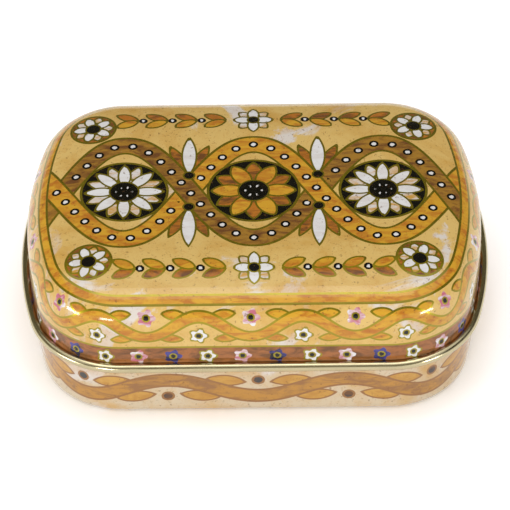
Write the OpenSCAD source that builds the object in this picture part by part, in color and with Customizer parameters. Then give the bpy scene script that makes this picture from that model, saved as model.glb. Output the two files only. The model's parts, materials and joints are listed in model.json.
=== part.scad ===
// Small hinged tin with a pillow-shaped lid. Both shells are pressed from tinplate.
// X runs along the width, the front is at -Y, the hinge at +Y and the tin stands on Z = 0.
// Sheet profiles are drawn with X = 0 on the outline of the rolled rim and with inwards as negative X.

/* [Tin] */
// Width over the rolled rim
tin_w = 62; // [54:0.5:90]
// Depth over the rolled rim
tin_d = 45; // [38:0.5:60]
// Height of the closed tin
tin_h = 20.2; // [17:0.1:30]
// Radius of the four corners at the rim
corner_r = 12.5; // [9:0.1:14]
// How far each side arc falls back over half the depth
side_bow = 4.9; // [3:0.1:7]
// Thickness of the tinplate
sheet_t = 0.25; // [0.2:0.01:0.3]

/* [Lid] */
// Height of the rolled rim's middle above the table
rim_z = 9.1; // [8:0.1:12]
// Radius of the soft shoulder between wall and top
shoulder_r = 5; // [3:0.1:6]
// Slope in degrees at which the shoulder passes into the crowned top
crown_slope = 12; // [6:0.5:20]

/* [Base] */
// Radius of the edge between wall and foot
edge_r = 1.2; // [0.8:0.05:2]
// Inward lean of the wall in degrees, from the rim down to the foot
wall_lean = 5; // [1:0.5:7]
// Width of the flat ring that the tin stands on
foot_w = 1.6; // [1:0.1:3]
// Height by which the bottom panel is pressed up inside the foot
panel_lift = 0.5; // [0.3:0.05:0.7]
// Height of the neck's top edge above the middle of the rim
neck_rise = 2.6; // [2:0.1:4]
// Radius of the hem rolled inwards along the neck's top edge
hem_r = 0.45; // [0.35:0.01:0.6]

/* [Hinge] */
// Diameter of the steel hinge wire
wire_d = 0.68; // [0.6:0.01:0.9]
// Distance by which the wire stops short of each corner
wire_end = 1.3; // [0.5:0.1:3]
// Width of each of the two scrolls that hold the wire
scroll_w = 6; // [4:0.1:7]
// Distance from the corner to the middle of a scroll
scroll_inset = 6.8; // [5:0.1:8]

/* [Fits] */
// Clearance round the wire inside the rolls
wire_clear = 0.06; // [0.02:0.01:0.09]
// Clearance between the neck and the lid's wall
neck_clear = 0.15; // [0.1:0.01:0.25]
// Clearance between the rolled rim and the joggle that it sits over
rim_clear = 0.06; // [0.03:0.01:0.15]
// Gap between a rolled edge and the sheet that it comes back to
roll_gap = 0.06; // [0.04:0.01:0.1]
// Clearance between a scroll and the notch in the lid
notch_clear = 0.2; // [0.1:0.01:0.4]
// Width of the slit between a scroll and the neck beside it
slit_w = 0.3; // [0.1:0.01:0.5]

/* [Hidden] */
$fn = 96;
overrun = 1;
// How far a leaning wall or a crown runs into its round bends, so that they cross and don't only touch
bite = 0.001;
half_w = tin_w / 2;
half_d = tin_d / 2;

// Nearest thousandth, for lengths that several shapes meet at and that must not differ by a rounding
function fine(v) = round(v * 1000) / 1000;

// Plan: straight front and back, arcs at the sides and corner arcs tangent to both
corner_y = half_d - corner_r;
bow_r = (half_d * half_d + side_bow * side_bow) / (2 * side_bow);
side_a = round(asin(corner_y / (bow_r - corner_r)) * 100) / 100;
side_r = corner_r + corner_y / sin(side_a);
corner_x = fine(half_w - side_r + (side_r - corner_r) * cos(side_a));
side_x = corner_x - (side_r - corner_r) * cos(side_a);

// Rim: one roll wide enough for the wire, with the lid's wall on its inner side
rim_r = wire_d / 2 + wire_clear + sheet_t;
roll_bore = rim_r - sheet_t;
wall_x = -rim_r - roll_bore;

// Lid: the crown is tangent to the shoulder and level where the corner arcs have their centres
shoulder_x = wall_x - shoulder_r;
crown_r = fine(shoulder_r + (shoulder_x + corner_r) / sin(crown_slope));
crown_z = tin_h - crown_r;
shoulder_z = fine(crown_z + sqrt(pow(crown_r - shoulder_r, 2) - pow(shoulder_x + corner_r, 2)) + bite);

// Base: a joggle of two quarter bends lets the neck stand inside the lid's wall
joggle_r = neck_clear / 2;
joggle_out = joggle_r + sheet_t;
joggle_x = wall_x - joggle_out;
joggle_z = fine(rim_z - sqrt(pow(rim_r + joggle_out + rim_clear, 2) - pow(joggle_x + rim_r, 2)));
neck_x = joggle_x - joggle_r;
neck_z = joggle_z + joggle_out + joggle_r;
hem_z = rim_z + neck_rise - hem_r;

// Base: leaning wall, round edge, foot, and two quarter bends up to the raised panel
edge_fall = edge_r - joggle_out + (joggle_z - edge_r) * sin(wall_lean);
edge_x = fine(joggle_x - edge_fall / cos(wall_lean));
foot_x = edge_x - foot_w;
panel_r = (panel_lift - sheet_t) / 2;
panel_out = panel_r + sheet_t;
panel_x = foot_x - panel_lift;

// Hinge: the wire lies in the middle of the roll along the back. The notches in the lid's wall end above
// the height at which a scroll meets that wall.
hinge_y = half_d - rim_r;
wire_l = 2 * (corner_x - wire_end);
scroll_x = corner_x - scroll_inset;
notch_rise = sqrt(rim_r * rim_r - roll_bore * roll_bore) + notch_clear;

// Moves in two steps, first to the nearest thousandth, so that each number is short and exact
module place(v) {
    near = [for (c = v) fine(c)];
    translate(near) translate(v - near) children();
}

// Carries sheet profiles once round the outline: child 0 for the corners, 1 for the sides, 2 for front and back
module round_outline() {
    for (turn = [0, 180]) rotate(turn) {
        for (flip = [0, 1]) mirror([flip, 0, 0]) translate([corner_x, corner_y, 0])
            rotate_extrude(angle = 90 - side_a, start = side_a) translate([corner_r, 0]) children(0);
        place([side_x, 0, 0]) rotate_extrude(angle = 2 * side_a, start = -side_a)
            place([side_r, 0]) children(1);
        translate([-corner_x, half_d, 0]) rotate([90, 0, 90]) linear_extrude(2 * corner_x) children(2);
    }
}

// Rolled edge of a sheet that stands on the left and leaves upwards from the middle's height
module rolled_edge(outer_r) {
    difference() {
        circle(outer_r);
        circle(outer_r - sheet_t);
        translate([-outer_r, 0]) square([sheet_t + roll_gap, outer_r]);
    }
}

// Everything inside the lid's outer face moved inwards by depth, and out to reach from the outline
module lid_space(depth, reach) {
    side = wall_x - depth;
    top = tin_h - depth;
    level = [[-corner_r, top], [-reach, top], [-reach, rim_z]];
    polygon(concat(
        [[side, rim_z], [side, shoulder_z], [-corner_r, shoulder_z]],
        reach > corner_r ? level : [[-corner_r, rim_z]]
    ));
    translate([shoulder_x, shoulder_z]) intersection() {
        circle(shoulder_r - depth);
        square(shoulder_r);
    }
    intersection() {
        translate([-corner_r, crown_z]) circle(crown_r - depth);
        polygon([
            [-corner_r, shoulder_z],
            [shoulder_x, shoulder_z],
            [shoulder_x, shoulder_z] + 2 * shoulder_r * [sin(crown_slope), cos(crown_slope)],
            [-corner_r, tin_h + shoulder_r]
        ]);
    }
}

// Lid sheet with its rim rolled outwards and up
module lid_profile(reach) {
    difference() {
        lid_space(0, reach);
        lid_space(sheet_t, reach);
    }
    translate([-rim_r, rim_z]) rolled_edge(rim_r);
}

// Everything inside the base's outer face moved inwards by depth, and out to reach from the outline
module base_space(depth, reach) {
    lean = [cos(wall_lean), -sin(wall_lean)];
    panel_z = panel_lift + depth;
    polygon([
        [-reach, panel_z],
        [edge_x, panel_z],
        [edge_x, joggle_z - sheet_t],
        [neck_x - depth, joggle_z - sheet_t],
        [neck_x - depth, hem_z],
        [-reach, hem_z]
    ]);
    polygon([
        [foot_x, depth],
        [edge_x, depth],
        [edge_x, edge_r],
        [edge_x, edge_r] + (edge_r - depth - bite) * lean,
        [joggle_x, joggle_z] + (joggle_out - depth - bite) * lean,
        [joggle_x, joggle_z],
        [foot_x, joggle_z]
    ]);
    translate([edge_x, edge_r]) circle(edge_r - depth);
    translate([foot_x, panel_out]) circle(panel_out - depth);
    difference() {
        translate([panel_x, panel_out]) square([panel_lift, panel_z]);
        translate([panel_x, panel_out]) circle(panel_r + depth);
    }
    translate([joggle_x, joggle_z]) circle(joggle_out - depth);
    difference() {
        translate([joggle_x - 2 * joggle_out, joggle_z]) square([2 * joggle_out, neck_z - joggle_z]);
        translate([joggle_x, neck_z]) circle(joggle_r + depth);
    }
}

// Base sheet with the neck's top edge rolled inwards and down
module base_profile(reach) {
    difference() {
        base_space(0, reach);
        base_space(sheet_t, reach);
    }
    translate([neck_x - hem_r, hem_z]) rotate(180) rolled_edge(hem_r);
}

// Tongue of the base that rises from the wall and is rolled round the hinge wire
module scroll_profile() {
    translate([wall_x - sheet_t, joggle_z]) square([sheet_t, rim_z - joggle_z]);
    translate([-rim_r, rim_z]) mirror([0, 1]) rolled_edge(rim_r);
}

// Places its children at both scrolls, with the back outline at Y = 0
module at_scrolls() {
    for (x = [-scroll_x, scroll_x]) translate([x, half_d, 0]) children();
}

// Lid with two notches in its rear rim for the scrolls
module lid_shell() {
    notch_w = scroll_w + 2 * notch_clear;
    color("darkkhaki") difference() {
        round_outline() {
            lid_profile(corner_r);
            lid_profile(2 * corner_r);
            lid_profile(half_d);
        }
        at_scrolls() translate([-notch_w / 2, wall_x - sheet_t - overrun, rim_z - rim_r - overrun])
            cube([notch_w, sheet_t - wall_x + 2 * overrun, rim_r + overrun + notch_rise]);
    }
}

// Tray whose neck is cut away where the two scrolls leave the rear wall
module base_tray() {
    window_w = scroll_w + 2 * slit_w;
    color("tan") {
        difference() {
            round_outline() {
                base_profile(corner_r);
                base_profile(2 * corner_r);
                base_profile(half_d);
            }
            at_scrolls() translate([-window_w / 2, neck_x - 2 * hem_r - overrun, joggle_z])
                cube([window_w, 2 * hem_r - neck_x + 2 * overrun, tin_h]);
        }
        at_scrolls() translate([-scroll_w / 2, 0, 0]) rotate([90, 0, 90]) linear_extrude(scroll_w)
            scroll_profile();
    }
}

// Straight steel wire through the rear roll and both scrolls
module hinge_wire() {
    color("silver") translate([0, hinge_y, rim_z]) rotate([0, 90, 0])
        cylinder(h = wire_l, d = wire_d, center = true);
}

lid_shell();
base_tray();
hinge_wire();
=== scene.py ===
"""Small hinged tin: printed lid and base of pressed tinplate and a wire hinge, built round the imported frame.

Lengths are in metres and Z is up. The front is at -Y, and the hinge runs along the back at +Y.
A sheet profile is drawn as (x, z), with x = 0 on the outline of the rolled rim and inwards as negative x.
"""

import json

import bmesh
import bpy
import numpy as np
from mathutils import Matrix, Quaternion, Vector


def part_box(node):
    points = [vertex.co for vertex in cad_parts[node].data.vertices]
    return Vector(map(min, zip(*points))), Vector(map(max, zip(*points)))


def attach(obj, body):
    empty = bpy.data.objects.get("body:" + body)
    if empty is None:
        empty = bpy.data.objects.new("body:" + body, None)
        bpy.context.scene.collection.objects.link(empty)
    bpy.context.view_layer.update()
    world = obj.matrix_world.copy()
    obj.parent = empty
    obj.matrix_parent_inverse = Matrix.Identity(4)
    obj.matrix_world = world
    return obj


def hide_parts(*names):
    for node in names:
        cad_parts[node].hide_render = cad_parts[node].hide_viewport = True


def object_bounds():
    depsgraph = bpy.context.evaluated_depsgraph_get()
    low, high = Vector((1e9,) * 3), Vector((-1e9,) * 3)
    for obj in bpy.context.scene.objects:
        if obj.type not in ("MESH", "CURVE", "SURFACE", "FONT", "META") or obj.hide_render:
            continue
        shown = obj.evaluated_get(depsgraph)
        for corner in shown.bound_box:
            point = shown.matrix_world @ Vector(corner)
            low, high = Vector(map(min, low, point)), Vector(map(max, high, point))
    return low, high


bl_info = {
    "name": "Hinged tin",
    "version": (1, 0, 0),
    "blender": (4, 5, 0),
    "location": "3D View > Sidebar > Tin",
    "description": "Builds the printed shells, the hinge and the studio of a small hinged tin",
    "category": "Add Mesh",
}

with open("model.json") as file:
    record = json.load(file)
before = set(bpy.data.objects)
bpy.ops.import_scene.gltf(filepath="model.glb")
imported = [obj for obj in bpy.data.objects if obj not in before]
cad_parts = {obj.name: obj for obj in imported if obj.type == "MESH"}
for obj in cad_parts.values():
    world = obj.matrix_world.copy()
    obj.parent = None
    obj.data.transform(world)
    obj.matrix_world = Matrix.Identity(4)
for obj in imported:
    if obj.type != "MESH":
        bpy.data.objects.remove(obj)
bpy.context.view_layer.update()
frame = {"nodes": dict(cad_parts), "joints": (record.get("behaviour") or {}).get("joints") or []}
LOW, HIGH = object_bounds()
NECK_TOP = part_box("base_tray")[1].z
HINGE = frame["joints"][0]["pos_m"]
MM = 0.001


class TinShape(bpy.types.PropertyGroup):
    """Sizes of the two pressed shells."""

    width: bpy.props.FloatProperty(
        name="Width", default=0.062, unit="LENGTH",
        description="Width over the rolled rim")
    depth: bpy.props.FloatProperty(
        name="Depth", default=HIGH.y - LOW.y, unit="LENGTH",
        description="Depth over the rolled rim")
    height: bpy.props.FloatProperty(
        name="Height", default=HIGH.z - LOW.z, unit="LENGTH",
        description="Height of the closed tin")
    rim_z: bpy.props.FloatProperty(
        name="Rim height", default=HINGE[2], unit="LENGTH",
        description="Height of the rolled rim's middle")
    rim_r: bpy.props.FloatProperty(
        name="Rim radius", default=HIGH.y - HINGE[1], unit="LENGTH",
        description="Outer radius of the roll")
    corner_r: bpy.props.FloatProperty(
        name="Corner radius", default=0.0125, unit="LENGTH",
        description="Radius of the corners at the rim")
    side_bow: bpy.props.FloatProperty(
        name="Side bow", default=0.0049, unit="LENGTH",
        description="How far each side arc falls back")
    sheet: bpy.props.FloatProperty(
        name="Sheet", default=0.00025, unit="LENGTH",
        description="Thickness of the tinplate")
    shoulder_r: bpy.props.FloatProperty(
        name="Shoulder radius", default=0.005, unit="LENGTH",
        description="Radius between the lid's wall and top")
    crown_slope: bpy.props.FloatProperty(
        name="Crown slope", default=np.radians(12), subtype="ANGLE",
        description="Slope where the shoulder meets the crowned top")
    edge_r: bpy.props.FloatProperty(
        name="Edge radius", default=0.0012, unit="LENGTH",
        description="Radius between the base's wall and foot")
    wall_lean: bpy.props.FloatProperty(
        name="Wall lean", default=np.radians(5), subtype="ANGLE",
        description="Inward lean of the base's wall")
    foot_w: bpy.props.FloatProperty(
        name="Foot width", default=0.0016, unit="LENGTH",
        description="Width of the ring that the tin stands on")
    panel_lift: bpy.props.FloatProperty(
        name="Panel lift", default=0.0005, unit="LENGTH",
        description="How far the bottom panel is pressed up")
    neck_top: bpy.props.FloatProperty(
        name="Neck height", default=NECK_TOP, unit="LENGTH",
        description="Height of the neck's hem")
    hem_r: bpy.props.FloatProperty(
        name="Hem radius", default=0.00045, unit="LENGTH",
        description="Radius of the hem along the neck")
    neck_clear: bpy.props.FloatProperty(
        name="Neck clearance", default=0.00015, unit="LENGTH",
        description="Clearance between the neck and the lid")
    rim_clear: bpy.props.FloatProperty(
        name="Rim clearance", default=0.00006, unit="LENGTH",
        description="Clearance between the roll and the joggle")
    roll_gap: bpy.props.FloatProperty(
        name="Roll gap", default=0.00006, unit="LENGTH",
        description="Gap between a rolled edge and its sheet")
    scroll_w: bpy.props.FloatProperty(
        name="Scroll width", default=0.006, unit="LENGTH",
        description="Width of each hinge scroll")
    scroll_inset: bpy.props.FloatProperty(
        name="Scroll inset", default=0.0068, unit="LENGTH",
        description="From the corner to a scroll's middle")
    notch_clear: bpy.props.FloatProperty(
        name="Notch clearance", default=0.0002, unit="LENGTH",
        description="Clearance between a scroll and its notch")
    slit_w: bpy.props.FloatProperty(
        name="Slit width", default=0.0003, unit="LENGTH",
        description="Slit between a scroll and the neck")
    lid_cell: bpy.props.FloatProperty(
        name="Lid cell", default=0.00035, unit="LENGTH",
        description="Size of the lid mesh's cells")
    base_cell: bpy.props.FloatProperty(
        name="Base cell", default=0.00045, unit="LENGTH",
        description="Size of the base mesh's cells")


def linear(code):
    """Linear red, green and blue, with alpha 1, of an sRGB hex value."""
    srgb = np.array([int(code[i:i + 2], 16) for i in (0, 2, 4)]) / 255
    light = np.where(srgb > 0.04045, ((srgb + 0.055) / 1.055) ** 2.4, srgb / 12.92)
    return (*light.tolist(), 1.0)


# Plan: the tin's outline and the columns that carry the profiles round it


def stretches(places, cell):
    """Places from the first to the last in even steps of about one cell between each and the next."""
    runs = []
    for start, end in zip(places, places[1:]):
        count = max(1, round((end - start) / cell))
        runs.append(np.linspace(start, end, count + 1)[:-1])
    return np.concatenate([*runs, places[-1:]])


class Plan:
    """The outline: straight front and back, corner arcs, and side arcs tangent to the corners.

    Each column has a foot, which lies one corner radius inside the outline, and an outward normal. A point
    at profile x is foot + (corner_r + x) * normal, so one formula serves the straight runs and all arcs.
    """

    def __init__(self, shape, breaks, cell):
        half_w, half_d = shape.width / 2, shape.depth / 2
        self.corner_r = shape.corner_r
        corner_y = half_d - shape.corner_r
        bow_r = (half_d ** 2 + shape.side_bow ** 2) / (2 * shape.side_bow)
        side_a = np.arcsin(corner_y / (bow_r - shape.corner_r))
        side_r = shape.corner_r + corner_y / np.sin(side_a)
        reach = side_r - shape.corner_r
        corner_x = half_w - side_r + reach * np.cos(side_a)
        self.scroll_x = corner_x - shape.scroll_inset
        near = [side * self.scroll_x + offset for side in (-1, 1) for offset in np.sort([*-breaks, *breaks])]
        back = stretches(np.array([-corner_x, *near, corner_x]), cell)[::-1]
        front = np.linspace(-corner_x, corner_x, len(back))
        side = stretches(np.array([-side_a, side_a]), cell / side_r)
        corner = stretches(np.array([side_a, np.pi / 2]), cell / self.corner_r)
        self.cells = len(back) - 1, len(side) - 1, len(corner) - 1
        pieces = []
        for turn, sign, run in ((0, 1, front), (np.pi, -1, back)):
            x, y = sign * corner_x, sign * corner_y
            pieces += [
                (run, 0 * run - y, 0 * run + turn - np.pi / 2),
                (0 * corner + x, 0 * corner - y, turn - corner[::-1]),
                (sign * (half_w - side_r + reach * np.cos(side)), sign * reach * np.sin(side), turn + side),
                (0 * corner + x, 0 * corner + y, turn + corner),
            ]
        x, y, angle = (np.concatenate([*[p[k][:-1] for p in pieces], pieces[0][k][:1]]) for k in range(3))
        self.foot = np.stack([x, y], axis=-1)
        self.out = np.stack([np.cos(angle), np.sin(angle)], axis=-1)
        steps = np.diff(self.foot + self.corner_r * self.out, axis=0)
        self.along = np.concatenate([[0], np.cumsum(np.hypot(steps[:, 0], steps[:, 1]))])

    def middle(self):
        """Grid of plan points that fills the inside of the feet. Each is the blend of the two points at its
        front and back, plus that of the two at its sides, less the blend of the four corners."""
        nx, ny, nc = self.cells
        starts = np.cumsum([0, nx + nc, ny + nc, nx + nc])
        front, right, back, left = (self.foot[s:s + n + 1] for s, n in zip(starts, (nx, ny, nx, ny)))
        back, left = back[::-1], left[::-1]
        u = np.linspace(0, 1, nx + 1)[None, :, None]
        v = np.linspace(0, 1, ny + 1)[:, None, None]
        ends = (1 - v) * ((1 - u) * front[0] + u * front[-1]) + v * ((1 - u) * back[0] + u * back[-1])
        return (1 - v) * front[None] + v * back[None] + (1 - u) * left[:, None] + u * right[:, None] - ends

    def near_scroll(self, half_width):
        """Which cells between two columns lie along the back within half_width of a scroll's middle."""
        rounding = 1e-6
        middle = (self.foot[:-1] + self.foot[1:]) / 2
        at_back = self.out[:-1, 1] + self.out[1:, 1] > 2 - rounding
        return at_back & (np.abs(np.abs(middle[:, 0]) - self.scroll_x) < half_width)


# Profiles: rows of (x, z, normal x, normal z) on the printed face of a sheet, in short steps along each part

LID_STEPS = {"crown": 19, "shoulder": 20, "wall": 13, "low_wall": 4, "roll": 20}
BASE_STEPS = {
    "panel": 9, "rise": 5, "heel": 7, "foot": 3, "edge": 14, "wall": 20, "brow": 2,
    "step": 7, "hollow": 4, "neck": 10, "hem": 18, "tongue": 5,
}


def bend(centre, radius, start, end, steps, hollow=False):
    """Rows on an arc: centre + radius * (cos, sin), from start to end in degrees. The printed face of a
    hollow bend looks at its centre."""
    angle = np.radians(np.linspace(start, end, steps + 1))
    arm = np.stack([np.cos(angle), np.sin(angle)], axis=-1)
    return np.concatenate([centre + radius * arm, -arm if hollow else arm], axis=-1)


def straight(first, last, normal, steps):
    """Rows between two points, without the two points themselves, which the bends beside them hold."""
    share = np.linspace(0, 1, steps + 1)[1:-1, None]
    place = (1 - share) * np.array(first) + share * np.array(last)
    return np.concatenate([place, np.broadcast_to(normal, place.shape)], axis=-1)


def lid_rows(shape):
    """Profile rows of the lid from the crown's edge to the end of its roll, and the row where a notch ends.

    The crown's arc is level at its edge and tangent to the shoulder's. The roll goes nearly once round, and
    its end stays one roll gap from the wall that it started from.
    """
    steps = LID_STEPS
    bore = shape.rim_r - shape.sheet
    wall_x = -shape.rim_r - bore
    shoulder_x = wall_x - shape.shoulder_r
    slope = shape.crown_slope
    tangent = 90 - np.degrees(slope)
    crown_r = shape.shoulder_r + (shoulder_x + shape.corner_r) / np.sin(slope)
    crown_z = shape.height - crown_r
    shoulder_z = crown_z + (crown_r - shape.shoulder_r) * np.cos(slope)
    notch_z = shape.rim_z + np.sqrt(shape.rim_r ** 2 - bore ** 2) + shape.notch_clear
    tip = np.degrees(np.arccos((bore - shape.roll_gap) / shape.rim_r))
    crown = bend((-shape.corner_r, crown_z), crown_r, 90, tangent, steps["crown"])
    shoulder = bend((shoulder_x, shoulder_z), shape.shoulder_r, tangent, 0, steps["shoulder"])[1:]
    wall = straight((wall_x, shoulder_z), (wall_x, notch_z), (1, 0), steps["wall"])
    notch = [[wall_x, notch_z, 1, 0]]
    low_wall = straight((wall_x, notch_z), (wall_x, shape.rim_z), (1, 0), steps["low_wall"])
    roll = bend((-shape.rim_r, shape.rim_z), bore, 180, 540 - tip, steps["roll"], hollow=True)
    rows = np.concatenate([crown, shoulder, wall, notch, low_wall, roll])
    return rows, len(crown) + len(shoulder) + len(wall)


def base_rows(shape):
    """Profile rows of the base from the bottom panel's edge to the hem's end, the rows where a scroll takes
    the neck's place, and the row at which the windows in the neck end.

    The joggle's outer bend lies one rim clearance from the lid's roll, and the leaning wall is tangent to it
    and to the round edge at the foot.
    """
    steps = BASE_STEPS
    bore = shape.rim_r - shape.sheet
    wall_x = -shape.rim_r - bore
    joggle_r = shape.neck_clear / 2
    joggle_out = joggle_r + shape.sheet
    joggle_x = wall_x - joggle_out
    over_roll = shape.rim_r + joggle_out + shape.rim_clear
    joggle_z = shape.rim_z - np.sqrt(over_roll ** 2 - (joggle_x + shape.rim_r) ** 2)
    neck_x = joggle_x - joggle_r
    neck_z = joggle_z + joggle_out + joggle_r
    hem_x = neck_x - shape.hem_r
    hem_z = shape.neck_top - shape.hem_r
    lean = shape.wall_lean
    lean_degrees = np.degrees(lean)
    fall = shape.edge_r - joggle_out + (joggle_z - shape.edge_r) * np.sin(lean)
    edge_x = joggle_x - fall / np.cos(lean)
    foot_x = edge_x - shape.foot_w
    panel_r = (shape.panel_lift - shape.sheet) / 2
    panel_out = panel_r + shape.sheet
    panel_x = foot_x - shape.panel_lift
    hem_tip = np.degrees(np.arccos((shape.hem_r - shape.sheet - shape.roll_gap) / shape.hem_r))
    roll_tip = np.degrees(np.arccos((bore - shape.roll_gap) / shape.rim_r))
    panel_start = (-shape.corner_r, shape.panel_lift)
    panel = straight(panel_start, (panel_x, shape.panel_lift), (0, -1), steps["panel"])
    rise = bend((panel_x, panel_out), panel_r, 90, 0, steps["rise"], hollow=True)
    heel = bend((foot_x, panel_out), panel_out, 180, 270, steps["heel"])[1:]
    foot = straight((foot_x, 0), (edge_x, 0), (0, -1), steps["foot"])
    edge = bend((edge_x, shape.edge_r), shape.edge_r, 270, 360 - lean_degrees, steps["edge"])
    brow = bend((joggle_x, joggle_z), joggle_out, -lean_degrees, 0, steps["brow"])
    wall = straight(edge[-1, :2], brow[0, :2], brow[0, 2:], steps["wall"])
    low = np.concatenate([[[*panel_start, 0, -1]], panel, rise, heel, foot, edge, wall, brow])
    step = bend((joggle_x, joggle_z), joggle_out, 0, 90, steps["step"])[1:]
    hollow = bend((joggle_x, neck_z), joggle_r, 270, 180, steps["hollow"], hollow=True)
    neck = straight((neck_x, neck_z), (neck_x, hem_z), (1, 0), steps["neck"])
    hem = bend((hem_x, hem_z), shape.hem_r, 0, 360 - hem_tip, steps["hem"])
    high = np.concatenate([step, hollow, neck, hem])
    tongue = straight((wall_x, joggle_z), (wall_x, shape.rim_z), (1, 0), steps["tongue"])
    rest = len(high) - len(tongue)
    scroll = bend((-shape.rim_r, shape.rim_z), bore, 180, roll_tip - 180, rest - 1, hollow=True)
    return np.concatenate([low, high]), np.concatenate([low, tongue, scroll]), len(low) - 1


# Sheets: two faces a sheet's thickness apart, joined along every cut edge

# Material slots of a shell's faces
PRINTED, LACQUERED, BARE = range(3)
# Points nearer to each other than this are one, and an edge that bends by more than this stays sharp
SEAM = 0.002 * MM
SHARP = np.radians(50)


def quads(number, kept):
    """Corner numbers of the kept cells of a grid of point numbers."""
    cells = np.stack([number[:-1, :-1], number[:-1, 1:], number[1:, 1:], number[1:, :-1]], axis=-1)
    return cells[kept]


def cut_edges(number, kept, lift):
    """Quads across the thickness wherever a kept cell meets a cut one, and after the last row."""
    row, col = np.nonzero(kept != np.pad(kept[1:], ((0, 1), (0, 0))))
    ends = np.stack([number[row + 1, col], number[row + 1, col + 1]], axis=-1)
    row, col = np.nonzero(kept != np.roll(kept, 1, axis=1))
    sides = np.stack([number[row, col], number[row + 1, col]], axis=-1)
    edges = np.concatenate([ends, sides])
    return np.concatenate([edges, edges[:, ::-1] + lift], axis=-1)


class Pressing:
    """A pressed shell: a ring of profiles swept round the plan, and a flat middle, with two faces each.

    A point of the printed face lies at foot + (corner_r + x) * out, and the inner face lies one thickness
    behind it along the profile's normal. Its place on the sheet before pressing is foot + length * out,
    where length is measured along the profile from the middle's edge.
    """

    def __init__(self, plan, rows, kept, thickness):
        rows = np.broadcast_to(rows.reshape(len(rows), -1, 4), (len(rows), len(plan.foot), 4))
        middle = plan.middle()

        # Points of the outer face and then of the inner one, each with its ring first
        faces = []
        for depth in (0, thickness):
            place = rows[..., :2] - depth * rows[..., 2:]
            ring = plan.foot + (plan.corner_r + place[..., :1]) * plan.out
            height = np.full((*middle.shape[:2], 1), place[0, 0, 1])
            faces.append(np.concatenate([ring, place[..., 1:]], axis=-1))
            faces.append(np.concatenate([middle, height], axis=-1))
        self.points = np.concatenate([face.reshape(-1, 3) for face in faces])

        # The same for one face before pressing, and the way along the profile and round the outline
        steps = np.diff(rows[..., :2], axis=0)
        length = np.cumsum(np.hypot(steps[..., 0], steps[..., 1]), axis=0)
        length = np.concatenate([np.zeros((1, len(plan.foot))), length])
        flat = plan.foot + length[..., None] * plan.out
        along = np.broadcast_to(plan.along, length.shape)
        inside = np.zeros(middle.shape[:2])
        self.flat = np.concatenate([flat.reshape(-1, 2), middle.reshape(-1, 2)])
        self.length = np.concatenate([length.ravel(), inside.ravel()])
        self.along = np.concatenate([along.ravel(), inside.ravel()])
        self.round_length = plan.along[-1]

        # Mesh faces by point numbers: outer, inner, and those across the cut edges
        number = np.arange(length.size).reshape(length.shape)
        centre = length.size + np.arange(inside.size).reshape(inside.shape)
        lift = length.size + inside.size
        row_of = np.broadcast_to(np.arange(len(rows) - 1)[:, None], kept.shape)[kept]
        ring, disc = quads(number, kept), quads(centre, np.ones(np.subtract(inside.shape, 1), bool))
        edge = cut_edges(number, kept, lift)
        self.quads = np.concatenate([ring, disc, ring + lift, disc + lift, edge])
        self.outer_rows = np.concatenate([row_of, np.zeros(len(disc), int)])
        self.cut_faces = len(edge)

    def piece(self, name, plates, materials, printed_rows):
        """Makes the mesh and welds its seams. The outer face is printed for the given number of rows and
        lacquered beyond them, the inner face is lacquered, and the cut edges are bare."""
        mesh = bpy.data.meshes.new(name)
        mesh.vertices.add(len(self.points))
        mesh.vertices.foreach_set("co", self.points.ravel())
        mesh.loops.add(self.quads.size)
        mesh.loops.foreach_set("vertex_index", self.quads.ravel())
        mesh.polygons.add(len(self.quads))
        mesh.polygons.foreach_set("loop_start", np.arange(0, self.quads.size, 4))
        outer = np.where(self.outer_rows < printed_rows, PRINTED, LACQUERED)
        inner = np.full(len(outer), LACQUERED)
        finish = np.concatenate([outer, inner, np.full(self.cut_faces, BARE)])
        mesh.update(calc_edges=True)
        mesh.polygons.foreach_set("material_index", finish.astype(np.int32))
        # The UV map is the sheet before pressing
        flat = np.tile(self.flat, (2, 1))
        mesh.uv_layers.new(name="flat_sheet").data.foreach_set("uv", flat[self.quads].ravel())
        for plate, field in plates.fields.items():
            values = np.tile(field, 2).astype(np.float32)
            mesh.attributes.new(plate, "FLOAT", "POINT").data.foreach_set("value", values)
        for material in materials:
            mesh.materials.append(material)
        weld(mesh)
        piece = bpy.data.objects.new(name, mesh)
        bpy.context.scene.collection.objects.link(piece)
        return piece


def weld(mesh):
    """Merges seams and corner points, turns all faces outwards and smooths all but the sharp edges."""
    work = bmesh.new()
    work.from_mesh(mesh)
    bmesh.ops.remove_doubles(work, verts=work.verts, dist=SEAM)
    bmesh.ops.recalc_face_normals(work, faces=work.faces)
    work.to_mesh(mesh)
    work.free()
    mesh.polygons.foreach_set("use_smooth", np.ones(len(mesh.polygons), bool))
    mesh.set_sharp_from_angle(angle=SHARP)


# Print: fields of a generic ornament, worked out on the sheet before pressing, in millimetres

# Where a field starts outside every shape
FAR = 9.0
# Half a wave of the lid's ribbons along u, and how far they swing to the front and the back
LOOP = 17.0
SWING = 9.2
# The lid's rule, measured along the sheet from the crown's edge
RULE = 9.5
# Rosettes of the lid: middle, radius, number of petals, and whether these are ivory
ROSETTES = ((0, 0, 6.0, 6, False), (LOOP, 0, 5.7, 8, True), (21.4, 13.1, 3.0, 5, True))


class Plates:
    """Printing plates. Each holds how far inside its shapes a point lies, and is below zero outside them.

    A field runs straight through its shape's edge, so the shader finds the edge, and the line along it,
    between the mesh's points too. Shapes that nearly touch are on different plates, one printed over the
    other.
    """

    def __init__(self, size):
        self.size, self.fields = size, {}

    def lay(self, plate, field):
        """Adds a shape to a plate, which becomes the larger of the two fields."""
        self.fields[plate] = np.maximum(self.fields.get(plate, np.full(self.size, -FAR)), field)


def dot(x, y, radius):
    """How far inside a disc: its radius less the distance to its middle."""
    return radius - np.hypot(x, y)


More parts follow.
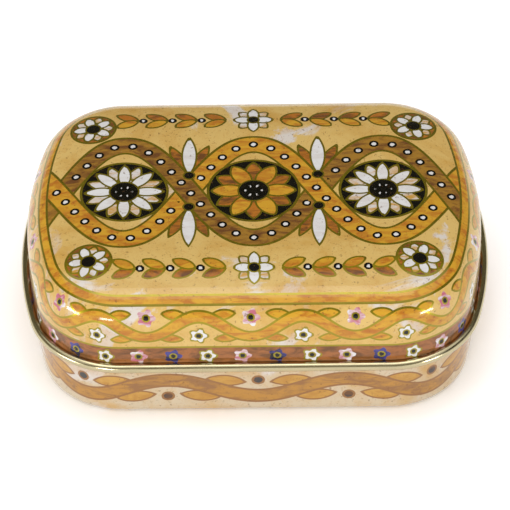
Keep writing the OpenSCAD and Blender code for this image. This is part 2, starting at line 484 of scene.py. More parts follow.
def leaf(x, y, length, width):
    """How far inside a pointed leaf from x = 0 to x = length: the overlap of two equal discs."""
    radius = (length ** 2 + width ** 2) / (4 * width)
    return radius - np.hypot(x - length / 2, np.abs(y) + radius - width / 2)


def turned(x, y, degrees):
    """Coordinates along and across a direction."""
    c, s = np.cos(np.radians(degrees)), np.sin(np.radians(degrees))
    return c * x + s * y, c * y - s * x


def sector(x, y, count, shift):
    """Coordinates along and across the middle of the nearest of count equal sectors."""
    pitch = 2 * np.pi / count
    angle = (np.arctan2(y, x) / pitch + shift + 0.5) % 1 - 0.5
    radius = np.hypot(x, y)
    return radius * np.cos(angle * pitch), radius * np.sin(angle * pitch)


def repeat(along, pitch, shift=0.0):
    """Distance to the middle of the nearest of many equal steps, and that step's number."""
    step = along / pitch + shift
    return (step % 1 - 0.5) * pitch, np.floor(step)


def petals(plates, plate, x, y, count, reach, width, start, shift=0.0):
    """Ring of pointed petals from start times reach out to reach, turned by shift of a petal's sector."""
    along, across = sector(x, y, count, shift)
    plates.lay(plate, leaf(along - start * reach, across, (1 - start) * reach, width))


def blossom(plates, plate, x, y, radius):
    """Little round flower with a dark heart: a disc whose radius swells and shrinks once for each lobe."""
    lobes = 5
    edge = radius * (0.82 + 0.18 * np.cos(lobes * np.arctan2(y, x)))
    plates.lay(plate, edge - np.hypot(x, y))
    plates.lay("hearts", dot(x, y, 0.36 * radius))


def lid_ribbons(plates, u, v, length):
    """Two ribbons along v = SWING * cos(pi * u / LOOP) and its mirror image, with a row of pearls on each.

    A ribbon's field is half its width less the distance to its middle line, which is nearly the height over
    the line divided by the line's length in one step of u. Ribbon 1 lies on top where the plate "weave" is
    above zero and ribbon 2 elsewhere, and the one below has no pearls where they cross. The pearls are even
    steps along the line, whose length is summed over many short chords.
    """
    half_width, pearl_r, pearl_count = 1.55, 0.5, 33
    line_end, chords = 26, 2000
    slope = np.hypot(1, np.pi * SWING / LOOP * np.sin(np.pi * u / LOOP))
    wave = SWING * np.cos(np.pi * u / LOOP)
    first = np.minimum(half_width - np.abs(v - wave) / slope, RULE - length)
    second = np.minimum(half_width - np.abs(v + wave) / slope, RULE - length)
    plates.lay("ribbon_1", first)
    plates.lay("ribbon_2", second)
    plates.lay("weave", np.sin(np.pi * u / LOOP))
    knots = np.linspace(-line_end, line_end, chords + 1)
    heights = SWING * np.cos(np.pi * knots / LOOP)
    run = np.concatenate([[0], np.cumsum(np.hypot(np.diff(knots), np.diff(heights)))])
    pearls = np.interp(np.linspace(0, run[-1], pearl_count), run, knots)
    for sign, other in ((1, second), (-1, first)):
        pearls_v = sign * SWING * np.cos(np.pi * pearls / LOOP)
        dots = dot(u[:, None] - pearls, v[:, None] - pearls_v, pearl_r).max(axis=1)
        hidden = (sign * np.sin(np.pi * u / LOOP) < 0) & (other > -pearl_r)
        plates.lay("pearls", np.where(hidden, -FAR, dots))


def lid_forks(plates, side, fold_v):
    """In each fork between the ribbons, two leaves and an ivory petal with a dark heart."""
    root = 3.2
    x, y = fold_v - root, side - LOOP / 2
    for tilt in (-24, 24):
        tip, rise = turned(x, y, tilt)
        plates.lay("leaves_under", leaf(tip, rise, length=6.4, width=1.6))
    plates.lay("pale_over", leaf(x, y, length=7.6, width=1.9))
    plates.lay("hearts", dot(x + 0.1, y, radius=0.75))


def lid_garlands(plates, u, side, fold_v):
    """Along the front and the back: on each side of an ivory flower, pairs of leaves with pearls between."""
    garland_v, first, pitch, pairs = 14.6, 3.0, 3.9, 4
    stem = fold_v - garland_v
    step, number = repeat(side - first, pitch)
    within = (number >= 0) & (number < pairs)
    for plate, tilt in (("leaves_under", 26), ("leaves_over", -26)):
        tip, rise = turned(step + 1.35, stem, tilt)
        plates.lay(plate, np.where(within, leaf(tip, rise, length=3.4, width=1.5), -FAR))
    step, number = repeat(side - first, pitch, 0.5)
    within = (number > 0) & (number < pairs)
    plates.lay("pearls", np.where(within, dot(step, stem, radius=0.45), -FAR))
    for plate, shift in (("pale_under", 0.5), ("pale_over", 0.0)):
        petals(plates, plate, u, stem, count=4, reach=2.7, width=1.5, start=0, shift=shift)
    plates.lay("hearts", dot(u, stem, radius=0.8))


def lid_rosettes(plates, u, v):
    """Dark discs, each with two rings of petals, one turned by half a petal, round a dark heart. The large
    ones have a small ring of pale petals in the heart."""
    for middle_u, middle_v, radius, count, ivory in ROSETTES:
        x = np.abs(u) - middle_u if middle_u else u
        y = np.abs(v) - middle_v if middle_v else v
        large = radius > 4
        plates.lay("dark_grounds" if large else "grounds", dot(x, y, radius))
        kind = "pale" if ivory else "petals"
        ring = {"count": count, "reach": 0.93 * radius, "width": 2.3 * radius / count, "start": 0.16}
        petals(plates, kind + "_under", x, y, **ring, shift=0.5)
        petals(plates, kind + "_over", x, y, **ring)
        plates.lay("hearts", dot(x, y, 0.34 * radius))
        if large:
            petals(plates, "pearls", x, y, count=6, reach=0.27 * radius, width=0.11 * radius, start=0.3)


def lid_border(plates, length, along, round_length):
    """The rule, and outside it a ribbon that waves round the shoulder as a sine of the way round, with
    leaves and flowers in its bays, and a brown band of small flowers with gold leaves between them."""
    rule_half, ribbon_half = 0.66, 0.78
    bays, wave_height, wave_middle, band_top = 14, 1.5, 13.2, 16.5
    pitch = round_length / bays
    plates.lay("rule", rule_half - np.abs(length - RULE))
    turn, drift = 2 * np.pi * along / pitch, length - wave_middle
    incline = np.hypot(1, wave_height * 2 * np.pi / pitch * np.cos(turn))
    plates.lay("vine", ribbon_half - np.abs(drift - wave_height * np.sin(turn)) / incline)
    for flip, plate in ((-1, "pale_over"), (1, "pink")):
        x, _ = repeat(along, pitch, 0.25 * flip)
        tip, rise = turned(np.abs(x) - 1.4, flip * drift - 1.5, degrees=8)
        plates.lay("leaves_over", leaf(tip, rise, length=3.4, width=1.3))
        blossom(plates, plate, x, drift + 1.35 * flip, radius=1.3)
    band = length - band_top
    flower_y = band - 1.6
    plates.lay("band", band)
    x, number = repeat(along, pitch / 3)
    for k, plate in enumerate(("pink", "blue", "pale_over")):
        blossom(plates, plate, np.where(number % 3 == k, x, FAR), flower_y, radius=1.25)
    x, _ = repeat(along, pitch / 3, 0.5)
    plates.lay("petals_under", leaf(x + 0.9, flower_y, length=1.8, width=0.9))


def lid_print(pressing):
    """Plates of the lid. Inside a gold rule, a gold and a bronze ribbon cross round three large rosettes,
    with garlands along the front and the back and a small rosette in each corner. Folding u and v to their
    sizes draws a motif in all four quarters at once."""
    u, v = pressing.flat.T / MM
    length, along = pressing.length / MM, pressing.along / MM
    side, fold_v = np.abs(u), np.abs(v)
    plates = Plates(len(u))
    lid_ribbons(plates, u, v, length)
    lid_forks(plates, side, fold_v)
    lid_garlands(plates, u, side, fold_v)
    lid_rosettes(plates, u, v)
    lid_border(plates, length, along, pressing.round_length / MM)
    return plates


def base_print(pressing):
    """Plates of the base: a tan ribbon that waves round the wall as a sine of the way round, with a spray of
    two leaves and a dark bead in each of its bays."""
    length, along = pressing.length / MM, pressing.along / MM
    height = pressing.points[:len(length), 2] / MM
    plates = Plates(len(length))
    bays, wave_height, wave_middle, ribbon_half = 8, 1.6, 4.7, 1.15
    pitch = pressing.round_length / MM / bays
    turn, drift = 2 * np.pi * along / pitch, height - wave_middle
    incline = np.hypot(1, wave_height * 2 * np.pi / pitch * np.cos(turn))
    for flip in (-1, 1):
        x, _ = repeat(along, pitch, 0.25 * flip)
        tip, rise = turned(np.abs(x) - 1.6, -flip * drift - 1.1, degrees=8)
        plates.lay("leaves", leaf(tip, rise, length=5.2, width=1.9))
        plates.lay("beads", dot(x, drift + 1.5 * flip, radius=0.75))
    plates.lay("vine", ribbon_half - np.abs(drift - wave_height * np.sin(turn)) / incline)
    return plates


# Materials


class TinColours(bpy.types.PropertyGroup):
    """Colours of the inks, the lacquer and the metal, as they look in plain light."""

    paper: bpy.props.FloatVectorProperty(
        name="Parchment", default=linear("dcb86c"), size=4, subtype="COLOR",
        description="Ground of the lid's print")
    pale: bpy.props.FloatVectorProperty(
        name="Pale clouds", default=linear("dcd6d2"), size=4, subtype="COLOR",
        description="Worn, whitish clouds on the ground, and shading of the ivory")
    ochre: bpy.props.FloatVectorProperty(
        name="Ochre stains", default=linear("cb9a45"), size=4, subtype="COLOR",
        description="Warm stains on the ground")
    sand: bpy.props.FloatVectorProperty(
        name="Sand", default=linear("d3c0a2"), size=4, subtype="COLOR",
        description="Ground of the base's print")
    gold: bpy.props.FloatVectorProperty(
        name="Gold", default=linear("d49f2c"), size=4, subtype="COLOR",
        description="Ribbon, leaves and petals")
    amber: bpy.props.FloatVectorProperty(
        name="Amber", default=linear("b87020"), size=4, subtype="COLOR",
        description="Shading of the gold, and veins in the ground")
    bronze: bpy.props.FloatVectorProperty(
        name="Bronze", default=linear("a67829"), size=4, subtype="COLOR",
        description="The second ribbon")
    umber: bpy.props.FloatVectorProperty(
        name="Umber", default=linear("6f4520"), size=4, subtype="COLOR",
        description="Shading of the browns, and dark flecks")
    chestnut: bpy.props.FloatVectorProperty(
        name="Chestnut", default=linear("a36432"), size=4, subtype="COLOR",
        description="Band above the rim")
    slate: bpy.props.FloatVectorProperty(
        name="Slate", default=linear("3b3a3a"), size=4, subtype="COLOR",
        description="Beads of the base")
    ivory: bpy.props.FloatVectorProperty(
        name="Ivory", default=linear("e6e4e2"), size=4, subtype="COLOR",
        description="Pale petals and pearls")
    soot: bpy.props.FloatVectorProperty(
        name="Soot", default=linear("050302"), size=4, subtype="COLOR",
        description="Darkest ink, behind the rosettes and in all hearts")
    rose: bpy.props.FloatVectorProperty(
        name="Rose", default=linear("c06c7c"), size=4, subtype="COLOR",
        description="Pink flowers")
    violet: bpy.props.FloatVectorProperty(
        name="Violet", default=linear("4b4590"), size=4, subtype="COLOR",
        description="Violet flowers")
    olive: bpy.props.FloatVectorProperty(
        name="Olive", default=linear("968618"), size=4, subtype="COLOR",
        description="Metallic ink of the lines round the lid's shapes")
    tan: bpy.props.FloatVectorProperty(
        name="Tan", default=linear("bb8638"), size=4, subtype="COLOR",
        description="Leaves and ribbon of the base")
    rust: bpy.props.FloatVectorProperty(
        name="Rust", default=linear("96683a"), size=4, subtype="COLOR",
        description="Lines and shading of the base's print")
    lacquer: bpy.props.FloatVectorProperty(
        name="Lacquer", default=linear("c6ba95"), size=4, subtype="COLOR",
        description="Gold lacquer on tinplate")
    tinplate: bpy.props.FloatVectorProperty(
        name="Tinplate", default=linear("c9c6bd"), size=4, subtype="COLOR",
        description="Bare cut edges")
    steel: bpy.props.FloatVectorProperty(
        name="Steel", default=linear("b3b0aa"), size=4, subtype="COLOR",
        description="Drawn wire")


# Inputs of a Mix node, which share their names, and its output for a colour
SHARE, NUMBER_A, NUMBER_B, COLOR_A, COLOR_B = 0, 2, 3, 6, 7
COLOR = 2

# How metallic the ink of the lid's lines is. The base's lines are plain ink.
FOIL = 0.8
PLAIN = 0.0

# Half the width over which a printed edge fades, in millimetres
SOFT = 0.02

# Noises of the print: size of the features in millimetres, detail, scale along the width, and distortion
GRAINS = (
    ("clouds", 13, 8, 1, 0.8),
    ("stains", 8, 10, 1, 0.5),
    ("veins", 4, 6, 1, 1.5),
    ("specks", 0.35, 2, 1, 0),
    ("blots", 0.5, 3, 1, 0),
    ("streaks", 1.1, 6, 0.35, 0.8),
    ("mottle", 2.4, 9, 1, 0.6),
    ("wear", 0.9, 3, 1, 0),
    ("waves", 5, 2, 1, 0),
)

# Tints of age: noise, the values at which it starts to show and shows fully, how strongly, and its colour
UNDER_INK = (
    ("clouds", 0.575, 0.62, 0.85, "pale"),
    ("stains", 0.46, 0.68, 0.85, "ochre"),
    ("veins", 0.008, 0.0, 0.4, "amber"),
    ("specks", 0.64, 0.74, 0.6, "umber"),
)
OVER_INK = (("blots", 0.62, 0.7, 0.6, "umber"),)


def add(tree, kind, inputs=(), **settings):
    """Adds a node to a tree, sets it, and gives its inputs values or the outputs of other nodes."""
    node = tree.nodes.new(kind)
    for name, value in settings.items():
        setattr(node, name, value)
    for key, value in dict(inputs).items():
        if isinstance(value, bpy.types.NodeSocket):
            tree.links.new(value, node.inputs[key])
        else:
            node.inputs[key].default_value = value
    return node


def new_material(name):
    """A material and its empty tree."""
    material = bpy.data.materials.new(name)
    material.use_nodes = True
    material.node_tree.nodes.clear()
    return material, material.node_tree


def per_metre(size_mm):
    """Scale of a noise whose features are about size_mm across."""
    return 1 / (size_mm * MM)


def aged(tree, grain, colours, color, tints):
    """The colour with each tint laid over it as strongly as its noise says."""
    for kind, low, high, strength, tint in tints:
        share = add(tree, "ShaderNodeMapRange", {
            "Value": grain[kind], "From Min": low, "From Max": high, "To Max": strength}).outputs[0]
        color = add(tree, "ShaderNodeMix", {
            SHARE: share, COLOR_A: color, COLOR_B: getattr(colours, tint)}, data_type="RGBA").outputs[COLOR]
    return color


def inked(tree, shade, color, layers, line_metal):
    """The colour and the share of metal after each layer's ink and line have been printed over it.

    Each layer gives its plates, its inks as the two colours that each is mottled between, the colour of the
    line along its edge and that line's width in millimetres. Where it names three plates and two inks, the
    first plate tells by its sign which of the other two, and which ink, is printed there. The ink fills
    what is above zero, and the line covers what is nearer to zero than half its width.
    """
    metal = PLAIN
    for names, inks, line_color, line in layers:
        fields = [add(tree, "ShaderNodeAttribute", attribute_name=name).outputs["Fac"] for name in names]
        tones = [
            add(tree, "ShaderNodeMix", {SHARE: shade, COLOR_A: light, COLOR_B: dark}, data_type="RGBA")
            for light, dark in inks]
        field, ink = fields[0], tones[0].outputs[COLOR]
        if len(names) == 3:
            first = add(tree, "ShaderNodeMath", {0: fields[0], 1: 0.0}, operation="GREATER_THAN").outputs[0]
            field = add(tree, "ShaderNodeMix", {
                SHARE: first, NUMBER_A: fields[2], NUMBER_B: fields[1]}).outputs[0]
            ink = add(tree, "ShaderNodeMix", {
                SHARE: first, COLOR_A: tones[1].outputs[COLOR], COLOR_B: ink},
                data_type="RGBA").outputs[COLOR]
        fill = add(tree, "ShaderNodeMapRange", {
            "Value": field, "From Min": -SOFT, "From Max": SOFT}).outputs[0]
        color = add(tree, "ShaderNodeMix", {
            SHARE: fill, COLOR_A: color, COLOR_B: ink}, data_type="RGBA").outputs[COLOR]
        if line_metal:
            metal = add(tree, "ShaderNodeMix", {SHARE: fill, NUMBER_A: metal, NUMBER_B: PLAIN}).outputs[0]
        if line:
            off = add(tree, "ShaderNodeMath", {0: field}, operation="ABSOLUTE").outputs[0]
            edge = add(tree, "ShaderNodeMapRange", {
                "Value": off, "From Min": line / 2 + SOFT, "From Max": line / 2 - SOFT}).outputs[0]
            color = add(tree, "ShaderNodeMix", {
                SHARE: edge, COLOR_A: color, COLOR_B: line_color}, data_type="RGBA").outputs[COLOR]
            if line_metal:
                metal = add(tree, "ShaderNodeMix", {
                    SHARE: edge, NUMBER_A: metal, NUMBER_B: line_metal}).outputs[0]
    return color, metal


def lithographed_tinplate(name, colours, ground, layers, line_metal):
    """Lithographed tinplate: flat inks under a clear stoving varnish, which looks like dull, mottled colour
    with sharp reflections over it. Lines of metallic ink look dark where they mirror something dark, and
    shine where they mirror something light."""
    material, tree = new_material(name)
    place = add(tree, "ShaderNodeTexCoord").outputs["Object"]
    grain = {}
    for kind, size_mm, detail, x_scale, distortion in GRAINS:
        shift = 0.3 * len(grain)
        moved = add(tree, "ShaderNodeMapping", {
            "Vector": place, "Location": (shift, shift, 0), "Scale": (x_scale, 1, 1)}).outputs[0]
        grain[kind] = add(tree, "ShaderNodeTexNoise", {
            "Vector": moved, "Scale": per_metre(size_mm), "Detail": detail, "Roughness": 0.62,
            "Distortion": distortion}).outputs["Fac"]
    vein = add(tree, "ShaderNodeMath", {0: grain["veins"], 1: 0.5}, operation="SUBTRACT").outputs[0]
    grain["veins"] = add(tree, "ShaderNodeMath", {0: vein}, operation="ABSOLUTE").outputs[0]
    shade = add(tree, "ShaderNodeMapRange", {
        "Value": grain["streaks"], "From Min": 0.42, "From Max": 0.62}).outputs[0]

    color = aged(tree, grain, colours, ground, UNDER_INK)
    color, metal = inked(tree, shade, color, layers, line_metal)
    color = aged(tree, grain, colours, color, OVER_INK)

    rough = add(tree, "ShaderNodeMapRange", {
        "Value": grain["wear"], "From Min": 0.3, "From Max": 0.7, "To Min": 0.26, "To Max": 0.4}).outputs[0]
    waves = add(tree, "ShaderNodeBump", {
        "Strength": 0.25, "Distance": 0.02 * MM, "Height": grain["waves"]}).outputs[0]
    skin = add(tree, "ShaderNodeBump", {
        "Strength": 0.2, "Distance": 0.003 * MM, "Height": grain["mottle"], "Normal": waves}).outputs[0]
    shader = add(tree, "ShaderNodeBsdfPrincipled", {
        "Base Color": color, "Metallic": metal, "Roughness": rough, "Specular IOR Level": 0.1,
        "Coat Weight": 0.7, "Coat Roughness": 0.08, "Normal": skin, "Coat Normal": skin}).outputs[0]
    add(tree, "ShaderNodeOutputMaterial", {"Surface": shader})
    return material


def lacquered_tinplate(name, color):
    """Gold-lacquered tinplate, rolled and stoved: a clear yellow lacquer over bright tin, which looks like
    soft-edged metal with faint lines along the rolling direction."""
    material, tree = new_material(name)
    rolling, thicker = 0.06, 0.72
    place = add(tree, "ShaderNodeTexCoord").outputs["Object"]
    along = add(tree, "ShaderNodeMapping", {"Vector": place, "Scale": (rolling, 1, 1)}).outputs[0]
    lines = add(tree, "ShaderNodeTexNoise", {
        "Vector": along, "Scale": per_metre(0.25), "Detail": 3}).outputs[0]
    cloud = add(tree, "ShaderNodeTexNoise", {"Vector": place, "Scale": per_metre(3), "Detail": 5}).outputs[0]
    rough = add(tree, "ShaderNodeMapRange", {
        "Value": cloud, "From Min": 0.35, "From Max": 0.65, "To Min": 0.16, "To Max": 0.25}).outputs[0]
    darker = (*(thicker * c for c in color[:3]), 1.0)
    tone = add(tree, "ShaderNodeMix", {
        SHARE: cloud, COLOR_A: color, COLOR_B: darker}, data_type="RGBA").outputs[COLOR]
    bump = add(tree, "ShaderNodeBump", {
        "Strength": 0.25, "Distance": 0.004 * MM, "Height": lines}).outputs[0]
    shader = add(tree, "ShaderNodeBsdfPrincipled", {
        "Base Color": tone, "Metallic": 1.0, "Roughness": rough, "Normal": bump}).outputs[0]
    add(tree, "ShaderNodeOutputMaterial", {"Surface": shader})
    return material


def bare_metal(name, color, roughness):
    """Bare steel, sheared or drawn: grey metal with a fine, even grain."""
    material, tree = new_material(name)
    rougher = roughness + 0.15
    place = add(tree, "ShaderNodeTexCoord").outputs["Object"]
    grain = add(tree, "ShaderNodeTexNoise", {
        "Vector": place, "Scale": per_metre(0.15), "Detail": 4}).outputs[0]
    rough = add(tree, "ShaderNodeMapRange", {
        "Value": grain, "From Min": 0.3, "From Max": 0.7, "To Min": roughness, "To Max": rougher}).outputs[0]
    shader = add(tree, "ShaderNodeBsdfPrincipled", {
        "Base Color": color, "Metallic": 1.0, "Roughness": rough}).outputs[0]
    add(tree, "ShaderNodeOutputMaterial", {"Surface": shader})
    return material


# Pieces


def shell_materials(name, colours, ground, layers, line_metal):
    """Print outside, lacquer inside and bare metal on the cut edges."""
    return [
        lithographed_tinplate(name, colours, ground, layers, line_metal),
        lacquered_tinplate(name + "_lacquer", colours.lacquer),
        bare_metal(name + "_cut_edge", colours.tinplate, roughness=0.3),
    ]


def lid_layers(colours):
    """Layers of the lid in the order of printing: plates, inks, colour of the line and its width."""
    gold = (colours.gold, colours.amber)
    bronze = (colours.bronze, colours.umber)
    brown = (colours.amber, colours.umber)
    dark = (colours.soot, colours.soot)
    ivory = (colours.ivory, colours.pale)
    olive = colours.olive
    return [
        (("leaves_under",), (brown,), olive, 0.26),
        (("leaves_over",), (gold,), olive, 0.26),
        (("weave", "ribbon_2", "ribbon_1"), (bronze, gold), olive, 0.34),
        (("weave", "ribbon_1", "ribbon_2"), (gold, bronze), olive, 0.34),
        (("grounds",), ((colours.umber, colours.amber),), olive, 0.34),
        (("dark_grounds",), (dark,), olive, 0.34),
        (("petals_under",), (brown,), olive, 0.26),
        (("petals_over",), (gold,), olive, 0.26),
        (("rule",), (gold,), olive, 0.32),
        (("vine",), (gold,), olive, 0.3),
        (("band",), ((colours.chestnut, colours.umber),), olive, 0.3),
        (("pale_under",), ((colours.pale, colours.ochre),), olive, 0.26),
        (("pale_over",), (ivory,), olive, 0.26),
        (("pink",), ((colours.rose, colours.ivory),), olive, 0),
        (("blue",), ((colours.violet, colours.soot),), olive, 0),
        (("hearts",), (dark,), olive, 0.2),
        (("pearls",), (ivory,), colours.soot, 0.3),
    ]


def base_layers(colours):
    """Layers of the base in the order of printing: plates, inks, colour of the line and its width."""
    return [
        (("leaves",), ((colours.tan, colours.ochre),), colours.rust, 0.26),
        (("vine",), ((colours.tan, colours.rust),), colours.rust, 0.34),
        (("beads",), ((colours.slate, colours.umber),), colours.rust, 0.3),
    ]


class TIN_OT_lid(bpy.types.Operator):
    """Press and print the lid"""

    bl_idname = "tin.lid"
    bl_label = "Lid"

    def execute(self, context):
        shape, colours = context.scene.tin_shape, context.scene.tin_colours
        notch = shape.scroll_w / 2 + shape.notch_clear
        plan = Plan(shape, np.array([notch]), shape.lid_cell)
        rows, notch_row = lid_rows(shape)
        kept = np.ones((len(rows) - 1, len(plan.foot) - 1), bool)
        kept[notch_row:, plan.near_scroll(notch)] = False
        pressing = Pressing(plan, rows, kept, shape.sheet)
        materials = shell_materials("printed_lid", colours, colours.paper, lid_layers(colours), FOIL)
        piece = pressing.piece("lid_pressing", lid_print(pressing), materials, len(rows))
        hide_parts("lid_shell")
        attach(piece, "lid")
        return {"FINISHED"}


class TIN_OT_base(bpy.types.Operator):
    """Press and print the base, with its neck and hinge scrolls"""

    bl_idname = "tin.base"
    bl_label = "Base"

    def execute(self, context):
        shape, colours = context.scene.tin_shape, context.scene.tin_colours
        scroll = shape.scroll_w / 2
        window = scroll + shape.slit_w
        plan = Plan(shape, np.array([scroll, window]), shape.base_cell)
        neck, tongue, cut_row = base_rows(shape)
        on_scroll = plan.near_scroll(scroll)
        tongue_columns = np.append(on_scroll, False) | np.insert(on_scroll, 0, False)
        rows = np.where(tongue_columns[None, :, None], tongue[:, None], neck[:, None])
        kept = np.ones((len(rows) - 1, len(plan.foot) - 1), bool)
        kept[cut_row:, plan.near_scroll(window) & ~on_scroll] = False
        pressing = Pressing(plan, rows, kept, shape.sheet)
        materials = shell_materials("printed_base", colours, colours.sand, base_layers(colours), PLAIN)
        piece = pressing.piece("base_pressing", base_print(pressing), materials, cut_row)
        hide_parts("base_tray")
        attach(piece, "base")
        return {"FINISHED"}


class TIN_OT_wire(bpy.types.Operator):
    """Give the hinge wire its drawn steel"""

    bl_idname = "tin.wire"
    bl_label = "Hinge wire"

    def execute(self, context):
        steel = bare_metal("drawn_steel_wire", context.scene.tin_colours.steel, roughness=0.25)
        wire = frame["nodes"]["hinge_wire"]
        wire.data.materials.clear()
        wire.data.materials.append(steel)
        return {"FINISHED"}


# Stage

WHITE = (1, 1, 1, 1)

# Grey levels of the floor: as it lights the tin, and lifted to white where it is seen or mirrored
FLOOR_PLAIN = (0.8, 0.8, 0.8, 1)
FLOOR_LIFTED = (1.4, 1.4, 1.4, 1)

# Flags of grey cloth, which only reflections show: name, colour, place, facing and size
FLAGS = (
    ("flag_back", "6e6953", (0.0, 0.6, 0.57), (0, -1, 0), (2.0, 1.0)),
    ("flag_front", "a8a28e", (0.0, -0.75, 0.55), (0, 1, 0), (2.0, 0.7)),
    ("flag_left", "8a8468", (-0.7, 0.1, 0.4), (1, 0, 0), (1.0, 0.5)),
    ("flag_right", "5c584a", (0.7, 0.1, 0.4), (-1, 0, 0), (1.0, 0.5)),
)

# The soft light overhead
OVERHEAD = (0.0, -0.02, 0.8)
OVERHEAD_SIZE = (0.7, 0.5)

# Low lamps, which the lid's shoulder mirrors: name and place
LAMPS = (
    ("lamp_left", (-0.78, -0.45, 0.07)),
    ("lamp_front", (-0.32, -0.92, 0.18)),
    ("lamp_right", (0.7, -0.66, 0.105)),
)
LAMP_SIZE = (0.27, 0.095)

FILM_WIDTH_MM = 36


class TinStudio(bpy.types.PropertyGroup):
    """Light and camera."""

    world_level: bpy.props.FloatProperty(
        name="World", default=0.56,
        description="Level of the light from all round")
    floor_size: bpy.props.FloatProperty(
        name="Floor", default=4.0, unit="LENGTH",
        description="Width of the floor")
    overhead_watts: bpy.props.FloatProperty(
        name="Overhead", default=2.0, unit="POWER",
        description="Power of the soft light overhead")
    lamp_watts: bpy.props.FloatProperty(
        name="Lamps", default=2.0, unit="POWER",
        description="Power of each of the three low lamps")
    target: bpy.props.FloatVectorProperty(
        name="Target", default=(0.00006, -0.00235, 0.01085), unit="LENGTH", subtype="TRANSLATION",
        description="Point that the camera looks at")
    distance: bpy.props.FloatProperty(
        name="Distance", default=0.5418, unit="LENGTH",
        description="From the camera to the target")
    elevation: bpy.props.FloatProperty(
        name="Elevation", default=np.radians(42.4), subtype="ANGLE",
        description="Angle of the camera above the floor")
    yaw: bpy.props.FloatProperty(
        name="Turn", default=np.radians(0.376), subtype="ANGLE",
        description="Turn of the camera round the tin")
    roll: bpy.props.FloatProperty(
        name="Roll", default=np.radians(-0.911), subtype="ANGLE",
        description="Roll of the camera")
    focal: bpy.props.FloatProperty(
        name="Focal length", default=288.9, unit="CAMERA",
        description="Focal length on a 36 mm wide picture")


def card(name, place, normal, size, material):
    """A flat rectangle at a place, facing along a normal."""
    u, v = np.array(size) / 2
    mesh = bpy.data.meshes.new(name)
    mesh.from_pydata([(-u, -v, 0), (u, -v, 0), (u, v, 0), (-u, v, 0)], [], [(0, 1, 2, 3)])
    turn = Vector(normal).to_track_quat("Z", "Y").to_matrix().to_4x4()
    mesh.transform(Matrix.Translation(place) @ turn)
    mesh.materials.append(material)
    piece = bpy.data.objects.new(name, mesh)
    bpy.context.scene.collection.objects.link(piece)
    return piece


def seen_or_mirrored(tree):
    """1 for rays from the camera and for those that metal and varnish reflect or glass lets through."""
    path = add(tree, "ShaderNodeLightPath").outputs
    seen = add(tree, "ShaderNodeMath", {
        0: path["Is Camera Ray"], 1: path["Is Glossy Ray"]}, operation="MAXIMUM").outputs[0]
    return add(tree, "ShaderNodeMath", {
        0: seen, 1: path["Is Transmission Ray"]}, operation="MAXIMUM").outputs[0]


def floor_paint():
    """Matt white floor. Seen directly it is lifted to pure white, and it keeps the tin's shadow."""
    material, tree = new_material("matt_white_floor")
    tone = add(tree, "ShaderNodeMix", {
        SHARE: seen_or_mirrored(tree), COLOR_A: FLOOR_PLAIN, COLOR_B: FLOOR_LIFTED},
        data_type="RGBA").outputs[COLOR]
    shader = add(tree, "ShaderNodeBsdfDiffuse", {"Color": tone}).outputs[0]
    add(tree, "ShaderNodeOutputMaterial", {"Surface": shader})
    return material


def flag_cloth(name, code):
    """Matt grey cloth of a flag that stands beside the tin and darkens its reflections."""
    material, tree = new_material(name)
    shader = add(tree, "ShaderNodeBsdfDiffuse", {"Color": linear(code)}).outputs[0]
    add(tree, "ShaderNodeOutputMaterial", {"Surface": shader})
    return material


def white_world(scene, level):
    """Even light from all round, with a white background where the world is seen or mirrored."""
    world = bpy.data.worlds.new("studio")
    scene.world = world
    world.use_nodes = True
    tree = world.node_tree
    tree.nodes.clear()
    light = add(tree, "ShaderNodeBackground", {"Color": WHITE, "Strength": level}).outputs[0]
    white = add(tree, "ShaderNodeBackground", {"Color": WHITE, "Strength": 1.0}).outputs[0]
    both = add(tree, "ShaderNodeMixShader", {0: seen_or_mirrored(tree), 1: light, 2: white}).outputs[0]
    add(tree, "ShaderNodeOutputWorld", {"Surface": both})


def soft_box(name, place, size, watts, scene):
    """Rectangular area light that faces the tin."""
    light = bpy.data.lights.new(name, "AREA")
    light.shape = "RECTANGLE"
    light.size, light.size_y = size
    light.energy = watts
    lamp = bpy.data.objects.new(name, light)
    lamp.location = place
    lamp.rotation_euler = Vector(place).to_track_quat("Z", "Y").to_euler()
    scene.collection.objects.link(lamp)


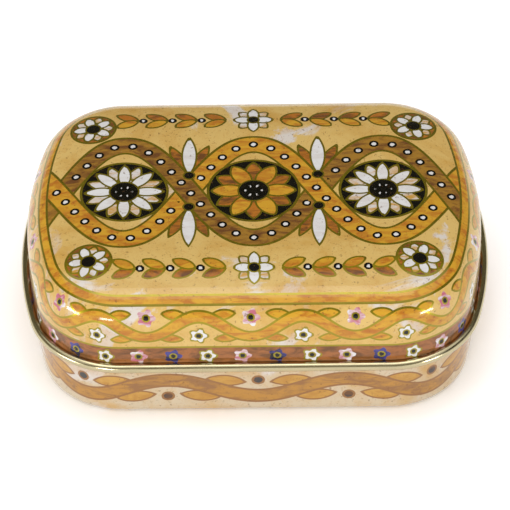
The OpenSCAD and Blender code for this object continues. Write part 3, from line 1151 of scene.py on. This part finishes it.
def camera(studio, scene):
    """Camera at a distance from its target, at an elevation and turn, and rolled about its own axis."""
    data = bpy.data.cameras.new("camera")
    data.lens = studio.focal
    data.sensor_width = FILM_WIDTH_MM
    viewer = bpy.data.objects.new("camera", data)
    scene.collection.objects.link(viewer)
    level, height = np.cos(studio.elevation), np.sin(studio.elevation)
    back = Vector((np.sin(studio.yaw) * level, -np.cos(studio.yaw) * level, height))
    viewer.location = Vector(studio.target) + studio.distance * back
    viewer.rotation_mode = "QUATERNION"
    viewer.rotation_quaternion = back.to_track_quat("Z", "Y") @ Quaternion((0, 0, 1), studio.roll)
    return viewer


class TIN_OT_stage(bpy.types.Operator):
    """Set the floor, the lights and the camera"""

    bl_idname = "tin.stage"
    bl_label = "Floor, lights and camera"

    def execute(self, context):
        scene, studio = context.scene, context.scene.tin_studio
        white_world(scene, studio.world_level)
        floor = card("floor", (0, 0, 0), (0, 0, 1), (studio.floor_size, studio.floor_size), floor_paint())
        for name, code, place, facing, size in FLAGS:
            flag = card(name, place, facing, size, flag_cloth(name + "_cloth", code))
            flag.visible_camera = False
            flag.visible_diffuse = False
            flag.visible_shadow = False
        soft_box("overhead", OVERHEAD, OVERHEAD_SIZE, studio.overhead_watts, scene)
        for name, place in LAMPS:
            soft_box(name, place, LAMP_SIZE, studio.lamp_watts, scene)
        scene.camera = camera(studio, scene)
        scene.view_settings.view_transform = "Standard"
        return {"FINISHED"}


# Add-on


class TIN_PT_builder(bpy.types.Panel):
    """Lists the tin's pieces, and its sizes, colours and light"""

    bl_label = "Hinged tin"
    bl_category = "Tin"
    bl_space_type = "VIEW_3D"
    bl_region_type = "UI"

    def draw(self, context):
        for operator in OPERATORS:
            self.layout.operator(operator.bl_idname)
        for group, kind in GROUPS.items():
            for name in kind.__annotations__:
                self.layout.prop(getattr(context.scene, group), name)


GROUPS = {"tin_shape": TinShape, "tin_colours": TinColours, "tin_studio": TinStudio}
OPERATORS = (TIN_OT_lid, TIN_OT_base, TIN_OT_wire, TIN_OT_stage)
CLASSES = (*GROUPS.values(), *OPERATORS, TIN_PT_builder)


def register():
    for kind in CLASSES:
        bpy.utils.register_class(kind)
    for name, kind in GROUPS.items():
        setattr(bpy.types.Scene, name, bpy.props.PointerProperty(type=kind))


def unregister():
    for name in GROUPS:
        delattr(bpy.types.Scene, name)
    for kind in reversed(CLASSES):
        bpy.utils.unregister_class(kind)


def main():
    register()
    bpy.ops.tin.lid()
    bpy.ops.tin.base()
    bpy.ops.tin.wire()
    bpy.ops.tin.stage()


if __name__ == "__main__":
    main()
